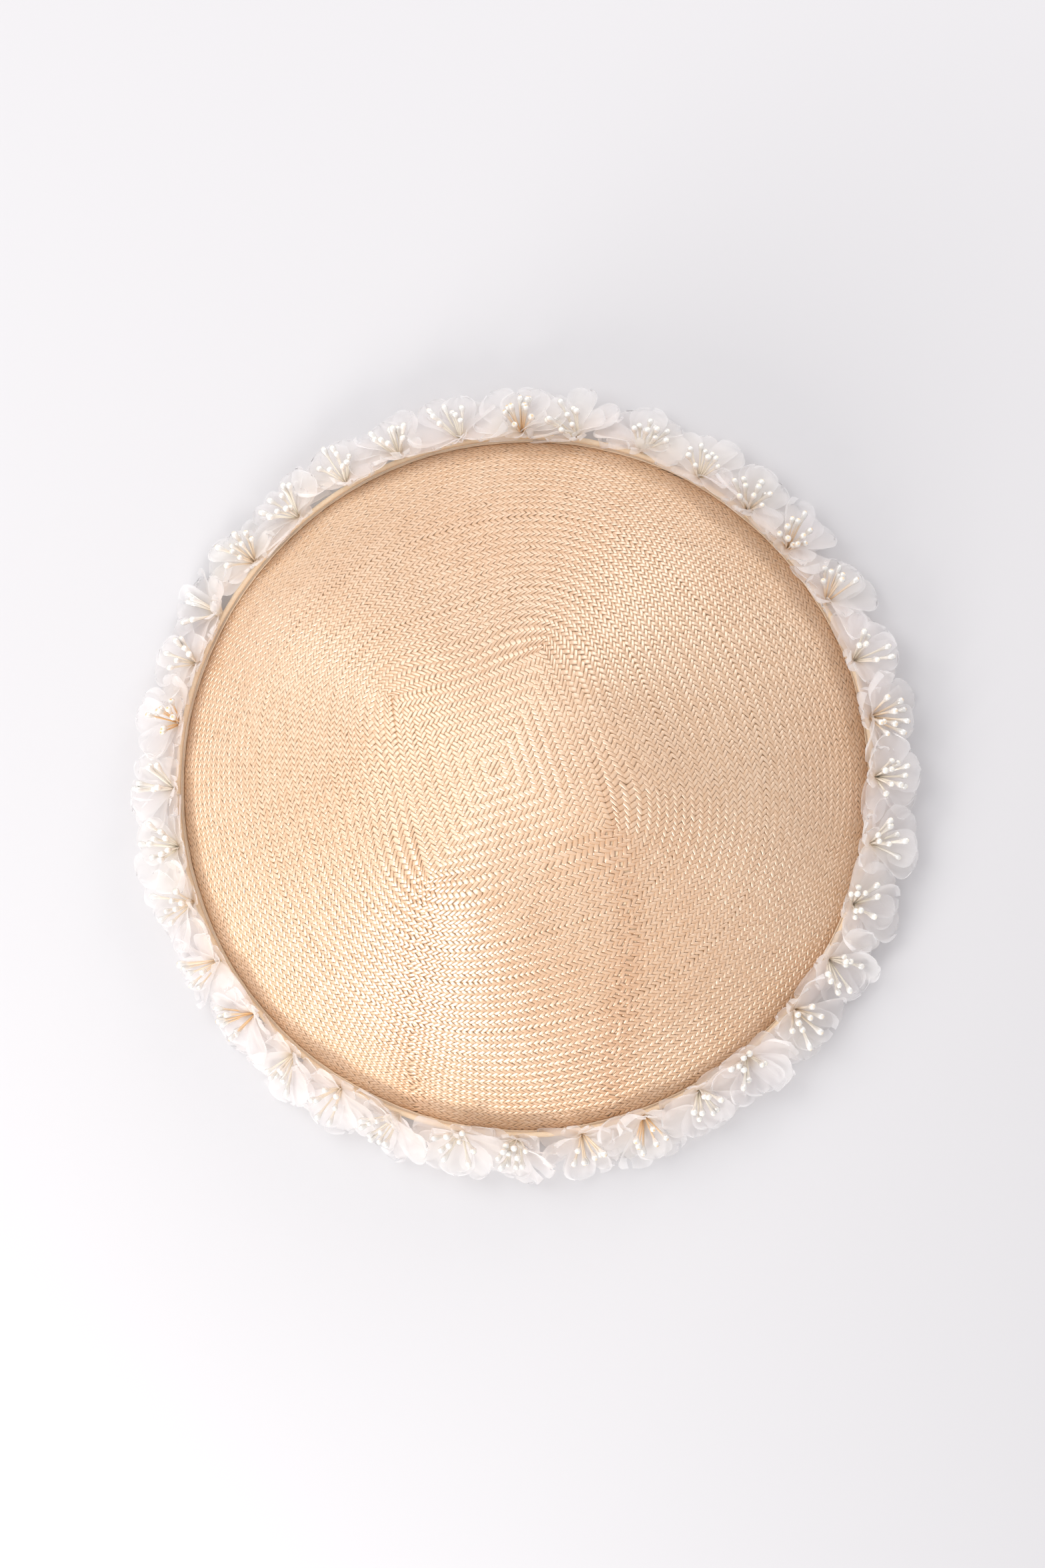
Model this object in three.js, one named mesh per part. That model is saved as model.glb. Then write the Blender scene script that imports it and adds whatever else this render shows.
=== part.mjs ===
// A conical straw hat: a woven straw crown blocked to a soft cone, wired and bound at its edge, with a
// grosgrain head band inside and a garland of 36 cloth blossoms sewn round the edge.
// Millimetres, +Z up. The origin is on the surface that the hat stands on, under the crown's tip.
import * as THREE from "three";

// Driving dimensions
const edgeRadius = 130; // to the outer face of the straw, at its lower edge
const crownRise = 82; // from the straw's lower edge to its tip
const strawThickness = 1.2; // two layers of flat straw, crossing
const ribbonThickness = 0.7;
const clearance = 0.3; // between pieces that touch
const wireRadius = 0.6;
const stemRadius = 1.1; // wire wrapped in paper tape
const headBandRadius = 88; // to the band's outer face: a 55 cm head size
const headBandDepth = 26;
const blossomCount = 36;
const blossomRadius = 10.6; // to the tip of a petal
const blossomDepth = 11.5;

const ringSegments = 48;
const fullTurn = 2 * Math.PI;
const degrees = Math.PI / 180;

// Finishes
const strawFinish = new THREE.MeshStandardMaterial({ color: 0xe6bd90, roughness: 0.42, metalness: 0 });
const bindingFinish = new THREE.MeshStandardMaterial({ color: 0xe9b98c, roughness: 0.7, metalness: 0 });
const wireFinish = new THREE.MeshStandardMaterial({ color: 0xd9d5cc, roughness: 0.6, metalness: 0.2 });
const headBandFinish = new THREE.MeshStandardMaterial({ color: 0xf0e2cf, roughness: 0.8, metalness: 0 });
const tapeFinish = new THREE.MeshStandardMaterial({ color: 0xb98250, roughness: 0.85, metalness: 0 });
const petalFinish = new THREE.MeshStandardMaterial({ color: 0xf4efee, roughness: 0.75, metalness: 0 });

const hat = new THREE.Group();

function addPiece(name, geometry, material) {
  const piece = new THREE.Mesh(geometry, material);
  piece.name = name;
  hat.add(piece);
  return piece;
}

// A solid of revolution about +Z. The outline is [radius, height] points, anticlockwise where the
// radius runs to the right and the height runs up.
function turned(outline, segments = ringSegments) {
  const points = outline.map(([r, z]) => new THREE.Vector2(r, z));
  return new THREE.LatheGeometry(points, segments).rotateX(Math.PI / 2);
}

// The crown's shape
// How far the outer face lies below the tip at a radius: a cone with a rounded tip that rolls over
// steeply at its edge, with a shallow hollow half way down.
function drop(radius) {
  const x = radius / edgeRadius;
  const roundedCone = 0.93 * x ** 2 + 0.07 * x ** 9;
  const hollowDepth = 2;
  const [hollowFrom, hollowTo] = [0.3, 0.85];
  const inHollow = Math.min(Math.max((x - hollowFrom) / (hollowTo - hollowFrom), 0), 1);
  return crownRise * roundedCone + (hollowDepth / 2) * (1 - Math.cos(fullTurn * inHollow));
}

// The outward unit normal of the outer face, as [radial, upward].
function outward(radius) {
  const step = 0.01;
  const slope = (drop(radius) - drop(radius - step)) / step;
  const length = Math.hypot(slope, 1);
  return [slope / length, 1 / length];
}

// The edge's own directions: "along" runs down the outer face past the edge, "out" leaves the face.
const [outR, outZ] = outward(edgeRadius);
const along = [outZ, -outR];
const out = [outR, outZ];

// The binding's fold is cut flat where it meets the surface that the hat stands on.
const halfStraw = strawThickness / 2;
const foldHalfWidth = halfStraw + clearance + ribbonThickness;
const foldLength = clearance + 2 * wireRadius + clearance + ribbonThickness;
const footCut = 0.6; // how much of the fold's lower corner the flat foot takes off
const edgeHeight = foldLength * outR + (foldHalfWidth + halfStraw) * outZ - footCut;
const tipHeight = edgeHeight + crownRise;

// A point near the edge, from how far it is down the face and how far it is out of the straw's middle.
function nearEdge(down, outOfMiddle) {
  const outOfFace = outOfMiddle - halfStraw;
  return [
    edgeRadius + along[0] * down + out[0] * outOfFace,
    edgeHeight + along[1] * down + out[1] * outOfFace,
  ];
}

function onCrown(radius, depth = 0) {
  const [normalR, normalZ] = radius > 0 ? outward(radius) : [0, 1];
  return [Math.max(radius - depth * normalR, 0), tipHeight - drop(radius) - depth * normalZ];
}

// Crown: one shell of woven straw
function crown() {
  const steps = 12;
  const radii = Array.from({ length: steps + 1 }, (_, i) => edgeRadius * Math.sin((i / steps) * (Math.PI / 2)));
  const outer = radii.map((r) => onCrown(r));
  const inner = radii.map((r) => onCrown(r, strawThickness));
  return turned([...inner, ...outer.reverse()]);
}
addPiece("crown", crown(), strawFinish);

// Rim wire: a ring of millinery wire under the straw's edge
function ringOfWire(centre, radius, sides) {
  const corners = Array.from({ length: sides + 1 }, (_, i) => {
    const turn = ((i % sides) / sides) * fullTurn;
    return [centre[0] + radius * Math.cos(turn), centre[1] + radius * Math.sin(turn)];
  });
  return turned(corners);
}
const wireDown = clearance + wireRadius;
addPiece("rim_wire", ringOfWire(nearEdge(wireDown, 0), wireRadius, 8), wireFinish);

// Edge binding: a ribbon folded over the straw's edge and the wire, with a flat foot under it
const outerLip = 4.5; // how far the ribbon covers the outer face
const innerLip = 6;
function edgeBinding() {
  const inside = halfStraw + clearance;
  const outside = foldHalfWidth;
  const foldInside = foldLength - ribbonThickness;
  const [cornerR, cornerZ] = nearEdge(foldLength, -outside);
  const footOuterR = cornerR + (-cornerZ * outR) / outZ;
  const footInnerR = cornerR - (-cornerZ * outZ) / outR;
  const section = [
    nearEdge(-innerLip, -outside),
    [footInnerR, 0],
    [footOuterR, 0],
    nearEdge(foldLength, outside),
    nearEdge(-outerLip, outside),
    nearEdge(-outerLip, inside),
    nearEdge(foldInside, inside),
    nearEdge(foldInside, -inside),
    nearEdge(-innerLip, -inside),
  ];
  return turned([...section, section[0]]);
}
addPiece("edge_binding", edgeBinding(), bindingFinish);

// Head band: a grosgrain ribbon ring that hangs from the crown's inner face
function headBand() {
  const innerRadius = headBandRadius - ribbonThickness;
  const underCrown = (radius) => onCrown(radius, strawThickness + clearance + 0.2)[1];
  const topOuter = underCrown(headBandRadius + 1);
  const topInner = underCrown(innerRadius + 1);
  const bottom = topOuter - headBandDepth;
  const section = [
    [innerRadius, bottom],
    [headBandRadius, bottom],
    [headBandRadius, topOuter],
    [innerRadius, topInner],
  ];
  return turned([...section, section[0]]);
}
addPiece("head_band", headBand(), headBandFinish);

// Garland stem: the taped wire that carries the blossoms, sewn on the binding's outer lip
const stemCentre = nearEdge(-2.2, foldHalfWidth + clearance + stemRadius);
addPiece("garland_stem", ringOfWire(stemCentre, stemRadius, 8), tapeFinish);

// Blossoms: five petals gathered round a bunch of stamens, joined here as one closed body
const petalCount = 5;
function blossom() {
  const notchDepth = 0.2; // of the radius, between two petals
  const petalThickness = 0.9;
  const profile = [
    [0, 0],
    [2.2, 0.8],
    [0.62 * blossomRadius, 0.45 * blossomDepth],
    [blossomRadius, 0.9 * blossomDepth],
    [blossomRadius - petalThickness, blossomDepth],
    [0.3 * blossomRadius, 0.4 * blossomDepth],
    [0.26 * blossomRadius, 0.95 * blossomDepth],
    [0, 1.05 * blossomDepth],
  ];
  const geometry = turned(profile, 2 * petalCount);
  const position = geometry.getAttribute("position");
  for (let i = 0; i < position.count; i++) {
    const [x, y] = [position.getX(i), position.getY(i)];
    const radius = Math.hypot(x, y);
    const share = Math.max(radius / blossomRadius - 0.3, 0) / 0.7;
    const lobe = (1 - Math.cos(petalCount * Math.atan2(y, x))) / 2;
    const scale = 1 - notchDepth * share * lobe;
    position.setXY(i, x * scale, y * scale);
  }
  return geometry;
}

// Each blossom leans a little differently. The pattern repeats every half turn, so the hat stays centred.
function placeBlossom(piece, index) {
  const halfCount = blossomCount / 2;
  const wave = (times, phase) => Math.sin((fullTurn * times * index) / halfCount + phase);
  const azimuth = (index / blossomCount) * fullTurn + 0.5 * degrees * wave(5, 1);
  const upward = (37 + 6 * wave(7, 0)) * degrees;
  const sideways = 3 * degrees * wave(4, 2);
  const gap = 0.5;
  const seat = stemRadius + gap;
  const radius = stemCentre[0] + seat * Math.cos(upward) + gap;
  const height = stemCentre[1] + seat * Math.sin(upward) + gap;
  piece.position.set(radius * Math.cos(azimuth), radius * Math.sin(azimuth), height);
  piece.rotation.order = "ZYX";
  piece.rotation.set(0, Math.PI / 2 - upward, azimuth + sideways);
}

for (let i = 0; i < blossomCount; i++) {
  const number = String(i + 1).padStart(2, "0");
  placeBlossom(addPiece(`blossom_${number}`, blossom(), petalFinish), i);
}

export default hat;
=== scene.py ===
import math

import bmesh
import bpy
import numpy as np
from mathutils import Matrix, Vector


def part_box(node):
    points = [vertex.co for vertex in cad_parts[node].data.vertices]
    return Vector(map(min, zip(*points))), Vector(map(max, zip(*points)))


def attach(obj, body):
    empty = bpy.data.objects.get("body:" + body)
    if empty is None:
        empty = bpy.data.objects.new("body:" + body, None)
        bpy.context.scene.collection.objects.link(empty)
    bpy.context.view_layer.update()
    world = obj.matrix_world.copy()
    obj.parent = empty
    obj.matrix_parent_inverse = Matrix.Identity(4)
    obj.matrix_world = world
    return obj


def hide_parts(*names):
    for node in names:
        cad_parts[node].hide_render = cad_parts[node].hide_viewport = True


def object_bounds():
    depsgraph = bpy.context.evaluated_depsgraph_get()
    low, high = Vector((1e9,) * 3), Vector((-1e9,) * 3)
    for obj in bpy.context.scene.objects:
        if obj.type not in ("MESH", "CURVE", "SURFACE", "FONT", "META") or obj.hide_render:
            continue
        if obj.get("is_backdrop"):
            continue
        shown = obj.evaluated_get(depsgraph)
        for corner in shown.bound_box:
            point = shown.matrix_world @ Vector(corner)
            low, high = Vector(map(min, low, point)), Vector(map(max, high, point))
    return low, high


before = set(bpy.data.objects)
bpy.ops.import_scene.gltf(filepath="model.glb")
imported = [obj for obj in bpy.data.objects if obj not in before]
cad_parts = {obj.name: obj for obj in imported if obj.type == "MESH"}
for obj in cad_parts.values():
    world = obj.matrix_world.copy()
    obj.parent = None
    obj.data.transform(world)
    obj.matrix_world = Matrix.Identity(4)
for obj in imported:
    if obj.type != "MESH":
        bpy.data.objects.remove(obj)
cad_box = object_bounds()
scene = bpy.context.scene

# ---------------------------------------------------------------------------------------------------
# The table and the daylight. The hat stands on a plain white table top in a white room, lit by soft
# windows: a high one on the left, and two low ones that face each other along the straw's shine.
# It is seen from above, from a few degrees towards the near right.
lean = math.radians(8.0)
lean_azimuth = math.radians(-30.0)
camera_distance = 1.30
seen_height = 0.588

hat_middle = (cad_box[0] + cad_box[1]) / 2
hat_middle.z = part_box("crown")[0].z
towards_camera = Vector((
    math.sin(lean) * math.cos(lean_azimuth),
    math.sin(lean) * math.sin(lean_azimuth),
    math.cos(lean),
))
camera_data = bpy.data.cameras.new("camera")
camera_data.sensor_width = 36.0
camera_data.lens = camera_data.sensor_width * camera_distance / seen_height
camera = bpy.data.objects.new("camera", camera_data)
scene.collection.objects.link(camera)
scene.camera = camera
up = (Vector((0, 1, 0)) - towards_camera * towards_camera.y).normalized()
turn = Matrix((up.cross(towards_camera), up, towards_camera)).transposed()
camera.location = hat_middle + towards_camera * camera_distance
camera.rotation_mode = "QUATERNION"
camera.rotation_quaternion = turn.to_quaternion()

scene.view_settings.view_transform = "Standard"
scene.world = bpy.data.worlds.new("white_room")
scene.world.use_nodes = True
room = scene.world.node_tree.nodes["Background"]
room.inputs["Color"].default_value = (0.968, 0.96, 0.99, 1.0)
room.inputs["Strength"].default_value = 0.84


def add_window(name, azimuth, height, distance, size, power, colour):
    """A soft square light that faces the hat, from an azimuth and a height in degrees."""
    light = bpy.data.lights.new(name, "AREA")
    light.size = size
    light.energy = power
    light.color = colour
    window = bpy.data.objects.new(name, light)
    scene.collection.objects.link(window)
    side = math.radians(azimuth)
    rise = math.radians(height)
    away = Vector((math.cos(side) * math.cos(rise), math.sin(side) * math.cos(rise), math.sin(rise)))
    window.location = hat_middle + away * distance
    window.rotation_mode = "QUATERNION"
    window.rotation_quaternion = away.to_track_quat("Z", "Y")


add_window("left_window", 148, 54, 0.95, 0.70, 3.9, (1.0, 0.985, 0.965))
add_window("near_window", 240, 25, 1.00, 0.34, 6.4, (1.0, 0.985, 0.965))
add_window("far_window", 62, 25, 1.00, 0.36, 2.5, (1.0, 0.985, 0.98))

table_size = 12.0
bpy.ops.object.select_all(action="DESELECT")
bpy.ops.mesh.primitive_plane_add(size=table_size, location=(0, 0, 0))
table_top = bpy.context.object
table_top.name = "table_top"


def new_material(name, **values):
    """A material, its nodes and its main shader, with the shader's plain inputs set by name."""
    material = bpy.data.materials.new(name)
    material.use_nodes = True
    tree = material.node_tree
    shader = tree.nodes["Principled BSDF"]
    for socket, value in values.items():
        shader.inputs[socket.replace("_", " ")].default_value = value
    return material, tree, shader


table_paint, tree, shader = new_material(
    "table_paint",
    Base_Color=(0.605, 0.598, 0.608, 1.0),
    Roughness=0.9,
    Specular_IOR_Level=0.1,
)
table_top.data.materials.append(table_paint)
table_top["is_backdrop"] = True

# ---------------------------------------------------------------------------------------------------
# Crown. Flat glossy straw, woven by hand from the tip outwards, two strands over and two under, then
# blocked to a soft cone. It starts as a square, whose corners end in four small knots. From there on
# its rows are rounds, and two faults, where strands were added, run from the nearer knots to the edge.
edge_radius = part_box("crown")[1].x
tip_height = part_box("crown")[1].z
crown_rise = 0.082
hollow_depth = 0.002  # of the shallow hollow half way down
dent_depth = 0.0008
ridge_height = 0.0006  # of the four soft ridges that run out from the square's corners
straw_thickness = 0.0012


def smooth(x, low, high):
    """0 below low and 1 above high, with an easy step between them."""
    share = np.clip((x - low) / (high - low), 0.0, 1.0)
    return share * share * (3.0 - 2.0 * share)


def crown_drop(radius):
    """How far the blocked straw lies below the tip, before its dents."""
    x = radius / edge_radius
    rounded_cone = 0.93 * x**2 + 0.07 * x**9
    in_hollow = np.clip((x - 0.30) / 0.55, 0.0, 1.0)
    return crown_rise * rounded_cone + hollow_depth * (1.0 - np.cos(2 * np.pi * in_hollow)) / 2


def crown_dents(radius, azimuth):
    """Soft lumps and hollows that handling has left in the straw."""
    x = radius / edge_radius
    inside = np.sin(np.pi * np.clip(x, 0.0, 1.0)) ** 2
    wave = np.sin(3 * azimuth + 0.6 + 2.5 * x) + 0.7 * np.sin(5 * azimuth - 1.1 - 4.0 * x)
    ridge = np.cos(4 * (azimuth - first_corner)) * np.exp(-(((x - 0.30) / 0.16) ** 2))
    return dent_depth * inside * wave + ridge_height * ridge


def on_crown(radius, azimuth, lift):
    """Points of the crown's outer face, moved off it by lift along its normal."""
    def height(r, a):
        return tip_height - crown_drop(r) + crown_dents(r, a)
    step = 0.0002
    fall = (height(radius + step, azimuth) - height(radius - step, azimuth)) / (2 * step)
    turn = height(radius, azimuth + step) - height(radius, azimuth - step)
    sway = turn / (2 * step * np.maximum(radius, 0.001))
    c, s = np.cos(azimuth), np.sin(azimuth)
    normal = np.stack([-fall * c + sway * s, -fall * s - sway * c, np.ones_like(c)], axis=-1)
    normal /= np.linalg.norm(normal, axis=-1, keepdims=True)
    place = np.stack([radius * c, radius * s, height(radius, azimuth)], axis=-1)
    return place + normal * lift[..., None]


# How far down the slope each radius is
radii = np.linspace(0.0, edge_radius, 800)
slant = np.concatenate([[0.0], np.cumsum(np.hypot(np.diff(radii), np.diff(crown_drop(radii))))])

# Rows are counted outwards in half rows: a float is two of these deep, and lies two from the next
last_square_row = 32.5
edge_row = 163.0
square_step = 0.00103  # a half row's depth in the square
knot_slant = last_square_row * square_step * math.sqrt(2.0)
edge_spacing = 0.0024  # from one float to the next in the last round
fault_raggedness = 0.0013
first_corner = math.radians(61.8)
knot_drift = np.radians([8.1, -6.5, -4.6, 1.8])  # how far the four knots are from a true square
# The faults' radii, in metres, and azimuths, in degrees
right_fault = np.array([[0.042, 333.6], [0.068, 311.9], [0.091, 296.6], [0.113, 288.9], [0.130, 285.0]])
left_fault = np.array([[0.047, 237.2], [0.070, 244.2], [0.112, 250.4], [0.130, 252.0]])
right_fault[:, 1] = np.radians(right_fault[:, 1])
left_fault[:, 1] = np.radians(left_fault[:, 1])


def corner_drift(azimuth):
    """The knots' drift, shared out between them round the crown, from an azimuth in a true square."""
    quarters = (azimuth - first_corner) / (np.pi / 2)
    return np.interp(quarters % 4, np.arange(5), np.append(knot_drift, knot_drift[0]))


def square_place(row, along, quarter):
    """Radius and azimuth of a place in the square, whose strands run straight."""
    azimuth = first_corner + (quarter + 0.5) * np.pi / 2 + np.arctan2(along, row)
    out = np.hypot(row, along) * square_step
    drift = corner_drift(azimuth) * np.clip(row / last_square_row, 0.0, 1.0) ** 2
    return np.interp(out, slant, radii), azimuth + drift


# The knots' azimuths, for three turns of the crown
corners = first_corner + np.arange(-4, 9) * np.pi / 2 + np.tile(knot_drift, 4)[:13]


def round_place(row, azimuth):
    """Radius of a round at an azimuth: nearly a square beside the knots, and a circle at the edge."""
    quarters = np.interp(azimuth, corners, np.arange(-4, 9))
    off_middle = (quarters % 1.0 - 0.5) * np.pi / 2
    sharp = (1.0 / np.cos(off_middle) - 1.0) / (math.sqrt(2.0) - 1.0)
    rounded = 0.5 - 0.5 * np.cos(4 * off_middle)
    share = smooth(row, last_square_row - 2.0, last_square_row + 16.0)
    corner = (1.0 - share) * sharp + share * rounded
    rows = [0.0, last_square_row, edge_row]
    middle_out = np.interp(row, rows, [0.0, last_square_row * square_step, slant[-1]])
    corner_out = np.interp(row, rows, [0.0, knot_slant, slant[-1]])
    return np.interp(middle_out + (corner_out - middle_out) * corner, slant, radii)


def far_side(azimuth):
    """1 in the far quarter, whose rounds are one row ahead of the others', and 0 in the rest."""
    middle = (corners[4] + corners[5]) / 2
    half = (corners[5] - corners[4]) / 2
    off = np.abs((azimuth - middle + np.pi) % (2 * np.pi) - np.pi)
    return 1.0 - smooth(off, half - 0.38, half + 0.38)


def square_floats(inside):
    """The floats of the square: row, place along it, which way each leans, and its quarter."""
    found = []
    for quarter in range(4):
        for number in range(int(last_square_row / 2)):
            row = 2.0 * number + 1.5
            first = 1.0 - row if number % 2 == 0 else -row
            place = first + 2.0 * np.arange(int(row) + 2)
            place = place[np.abs(place) <= row]
            lean = 1.0 if number % 2 == 0 else -1.0
            mirror = (1.0 if quarter % 2 == 0 else -1.0) * (-1.0 if inside else 1.0)
            for p in place:
                found.append((row, mirror * p, mirror * lean, quarter))
    return np.array(found)


def round_floats(inside):
    """The floats of the rounds: row, azimuth, which way each leans, and half its share of the round."""
    # The first round takes over the floats of the square's last row
    last = square_floats(False)
    last = last[last[:, 0] == last[:, 0].max()]
    azimuth = square_place(last[:, 0], last[:, 1], last[:, 3])[1]
    order = np.argsort(azimuth % (2 * np.pi))
    azimuth = (azimuth % (2 * np.pi))[order]
    count = len(azimuth)
    number = np.arange(count) + np.where(last[order, 3] == 0, 0.0, 0.5)
    fine = np.linspace(0.0, 2 * np.pi, 4096, endpoint=False)
    width = 2 * np.pi / len(fine)
    laps = [azimuth - 2 * np.pi, azimuth, azimuth + 2 * np.pi]
    counts = [number - count, number, number + count]
    index = np.interp(fine, np.concatenate(laps), np.concatenate(counts))
    density = np.diff(np.append(index, index[0] + count)) / width
    start = index[0]
    wave = np.fft.rfftfreq(len(fine), 1.0 / len(fine))
    picks = np.random.default_rng(7)
    found = []
    first_round = int(last_square_row / 2) - 1
    for ring in range(first_round, int(edge_row / 2)):
        row = 2.0 * ring + 1.5
        real_row = row + 2.0 * far_side(fine)
        radius = round_place(real_row, fine)
        spacing = np.interp(real_row, [last_square_row, edge_row], [2 * square_step, edge_spacing])
        wanted = radius / spacing
        # The last round's floats spread evenly, and new ones start where there is most room
        settle = np.exp(-0.5 * (wave / wanted.mean()) ** 2)
        density = np.fft.irfft(np.fft.rfft(density) * settle, len(fine))
        while (wanted - density).sum() * width > 0.5:
            lack = (wanted - density) * (1.0 + 0.8 * picks.random(len(fine)))
            blurred = np.fft.irfft(np.fft.rfft(lack) * np.exp(-0.5 * (wave * 0.06) ** 2), len(fine))
            at = fine[np.argmax(blurred)]
            off = (fine - at + np.pi) % (2 * np.pi) - np.pi
            added = np.exp(-0.5 * (off * wanted.mean() / 1.3) ** 2)
            density = density + added / (added.sum() * width)
        index = start + np.concatenate([[0.0], np.cumsum(density) * width])
        phase = 0.5 * (ring % 2) + (0.5 if inside else 0.0)
        whole = np.arange(math.ceil(index[0] - phase), math.ceil(index[-1] - phase)) + phase
        spots = np.interp(whole, index, np.append(fine, 2 * np.pi))
        step = 1.0 / np.interp(spots, fine, density)
        spot_row = row + 2.0 * far_side(spots)
        spot_radius = round_place(spot_row, spots)
        ragged = picks.normal(0.0, fault_raggedness, (2, len(spots))) / spot_radius
        left = np.interp(spot_radius, left_fault[:, 0], left_fault[:, 1]) + ragged[0]
        right = np.interp(spot_radius, right_fault[:, 0], right_fault[:, 1]) + ragged[1]
        # Between the two faults the floats lean the other way
        near = (spots > left) & (spots < right)
        lean = np.where(near, 1.0, -1.0) * (1.0 if ring % 2 == 0 else -1.0)
        if ring == first_round:
            keep = far_side(spots) > 0.5
        else:
            keep = spot_row < edge_row - 1.0
        lean = lean * (-1.0 if inside else 1.0)
        rows = np.full(len(spots), row)
        found.append(np.stack([rows, spots, lean, step / 2], axis=1)[keep])
    return np.concatenate(found)


# A float's height above the crown's outer face, as it arches over the strands that it crosses
float_crest = 0.00031
float_crest_spread = 0.00003
float_round = 0.00011  # how much lower its two long sides are than its middle
float_sunk = 0.00020


def mark_points(mesh, name, values):
    """Gives each point of a mesh a value, which the piece's material reads by its name."""
    layer = mesh.attributes.new(name, "FLOAT", "POINT")
    layer.data.foreach_set("value", values.astype(np.float32))


def read_mark(tree, name):
    """The value that mark_points gave."""
    node = tree.nodes.new("ShaderNodeAttribute")
    node.attribute_name = name
    return node.outputs["Fac"]


def weave(name, flat, rounds, lengths, widths, inside, luck):
    """Part of one face of the crown: a closed sliver of straw for each float, tucked in at its ends."""
    count = len(flat) + len(rounds)
    tuck = lengths[-1]
    lengthways = lengths[None, :, None] + np.zeros((count, 1, len(widths)))
    crossways = widths[None, None, :] + np.zeros((count, len(lengths), 1))

    # Floats lie less neatly along the two faults and at the knots
    row = np.concatenate([flat[:, 0], rounds[:, 0] + 2.0 * far_side(rounds[:, 1])])
    sense = np.concatenate([flat[:, 2], rounds[:, 2]])
    out = round_place(row[len(flat):], rounds[:, 1])
    off_left = (rounds[:, 1] - np.interp(out, left_fault[:, 0], left_fault[:, 1])) * out
    off_right = (rounds[:, 1] - np.interp(out, right_fault[:, 0], right_fault[:, 1])) * out
    messy = np.exp(-((off_left / 0.009) ** 2)) + np.exp(-((off_right / 0.008) ** 2))
    off_corner = np.abs(rounds[:, 1:2] % (2 * np.pi) - corners[None, 4:8] % (2 * np.pi)).min(axis=1)
    at_knot = np.exp(-((off_corner * out / 0.004) ** 2)) * (1.0 - smooth(row[len(flat):], 33.0, 38.0))
    messy = np.concatenate([np.zeros(len(flat)), np.maximum(messy, at_knot)])[:, None, None]

    def lots(scale):
        """A random share of the scale for each float."""
        return luck.normal(0.0, 1.0, count)[:, None, None] * scale
    astray = 0.03 + 0.05 * messy
    crossways = crossways * (1.10 + lots(0.05))
    turned = crossways + lengthways * lots(astray)
    along = lots(astray) - sense[:, None, None] * (lengthways - turned)
    outward = lots(astray) + lengthways + turned
    crest = float_crest + lots(float_crest_spread)
    arch = 1.0 - np.abs(lengthways / (1.12 * tuck)) ** 2.1
    lift = crest * arch - float_round * (2.0 * crossways) ** 2 - float_sunk
    if inside:
        lift = -straw_thickness - lift

    first = slice(0, len(flat))
    rest = slice(len(flat), count)
    square = square_place(
        row[first, None, None] + outward[first],
        flat[:, 1, None, None] + along[first],
        flat[:, 3, None, None],
    )
    azimuth = rounds[:, 1, None, None] + along[rest] * rounds[:, 3, None, None]
    rows = rounds[:, 0, None, None] + 2.0 * far_side(azimuth) + outward[rest]
    radius = round_place(np.clip(rows, 0.0, edge_row - 0.3), azimuth)
    radius = np.concatenate([square[0], radius])
    azimuth = np.concatenate([square[1], azimuth])
    points = on_crown(radius, azimuth, lift)

    # One float's faces: its top, then its underside and ends
    long, wide = len(lengths), len(widths)
    index = np.arange(long * wide).reshape(long, wide)
    top = [
        (index[i, j], index[i + 1, j], index[i + 1, j + 1], index[i, j + 1])
        for i in range(long - 1)
        for j in range(wide - 1)
    ]
    under = [(index[i, 0], index[i, -1], index[i + 1, -1], index[i + 1, 0]) for i in range(long - 1)]
    ends = [tuple(index[0, :]), tuple(index[-1, ::-1])]
    sliver = [tuple(int(c) for c in face) for face in top + under + ends]
    flipped = [face[::-1] for face in sliver]
    outwards = (sense > 0) != inside
    faces = []
    for number in range(count):
        start = number * long * wide
        for face in (flipped if outwards[number] else sliver):
            faces.append(tuple(start + c for c in face))
    mesh = bpy.data.meshes.new(name)
    mesh.from_pydata(points.reshape(-1, 3).tolist(), [], faces)
    on_top = np.arange(len(sliver)) < len(top)
    mesh.polygons.foreach_set("use_smooth", np.tile(on_top, count))

    # A map along and across each strand, and one where each float has a cell to itself, to bake in
    corner = np.empty(len(mesh.loops), np.int32)
    mesh.loops.foreach_get("vertex_index", corner)
    straw_start = luck.uniform(0.0, 300.0, (count, 2))
    own = np.stack([lengthways, crossways], axis=-1) + straw_start[:, None, None, :]
    strand = mesh.uv_layers.new(name="strand")
    strand.uv.foreach_set("vector", own.reshape(-1, 2)[corner].astype(np.float32).ravel())
    cells = math.ceil(math.sqrt(count))
    sizes = np.array([len(face) for face in sliver])
    below = np.tile(np.repeat(~on_top, sizes), count)
    number, spot = corner // (long * wide), corner % (long * wide)
    u = 0.06 + 0.88 * (spot // wide) / (long - 1)
    v = (spot % wide) / (wide - 1)
    v = np.where(below, 0.80 + 0.14 * v, 0.05 + 0.68 * v)
    cell = np.stack([(number % cells + u) / cells, (number // cells + v) / cells], axis=-1)
    bake = mesh.uv_layers.new(name="OFBake")
    bake.uv.foreach_set("vector", cell.astype(np.float32).ravel())

    mark_points(mesh, "tone", np.repeat(luck.random(count), long * wide))
    # Painted shade: a mask that is 1 at each float's ends and long sides, where it dips under its
    # neighbours
    tuck_shade = np.clip(np.abs(lengthways / tuck) ** 3 + 0.35 * (2.0 * crossways) ** 4, 0.0, 1.0)
    mark_points(mesh, "tuck_shade", tuck_shade.reshape(-1))
    mark_points(mesh, "messy", np.repeat(np.clip(messy.ravel(), 0.0, 1.0), long * wide))
    piece = bpy.data.objects.new(name, mesh)
    scene.collection.objects.link(piece)
    piece.data.materials.append(straw)
    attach(piece, "root")
    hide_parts("crown")


def add_node(tree, kind, **values):
    """A shader node with its plain inputs set by name."""
    node = tree.nodes.new(kind)
    for name, value in values.items():
        node.inputs[name.replace("_", " ")].default_value = value
    return node


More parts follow.
